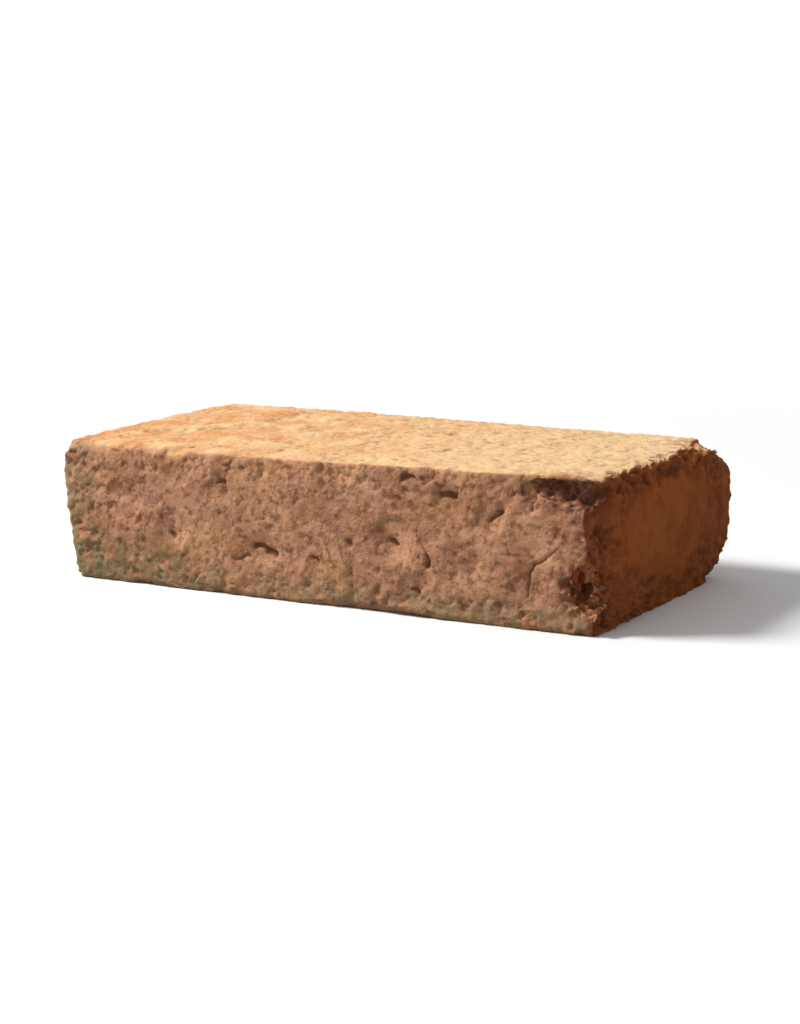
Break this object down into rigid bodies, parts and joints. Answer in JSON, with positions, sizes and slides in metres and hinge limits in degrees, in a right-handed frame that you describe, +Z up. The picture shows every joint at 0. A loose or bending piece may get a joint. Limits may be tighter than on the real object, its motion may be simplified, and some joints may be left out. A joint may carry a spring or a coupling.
{
  "type": "clay brick",
  "caption": "Solid rectangular hand-moulded fired clay brick with worn, chipped arrises and a flat bed face, laid in mortar or stacked dry to make walls and paving.",
  "frame": {"origin": "middle of the bed face, the flat underside that the brick lies on", "axes": "+X along the length towards the end with the broken corner, +Y away from the stretcher face that shows, +Z up, from the bed face to the top face"},
  "size_m": [0.215, 0.0997, 0.0506],
  "materials": {
    "fired_clay": "matte, sand-faced, pitted and weathered"
  },
  "bodies": {
    "root": {"brick": "fired_clay"}
  },
  "joints": []
}
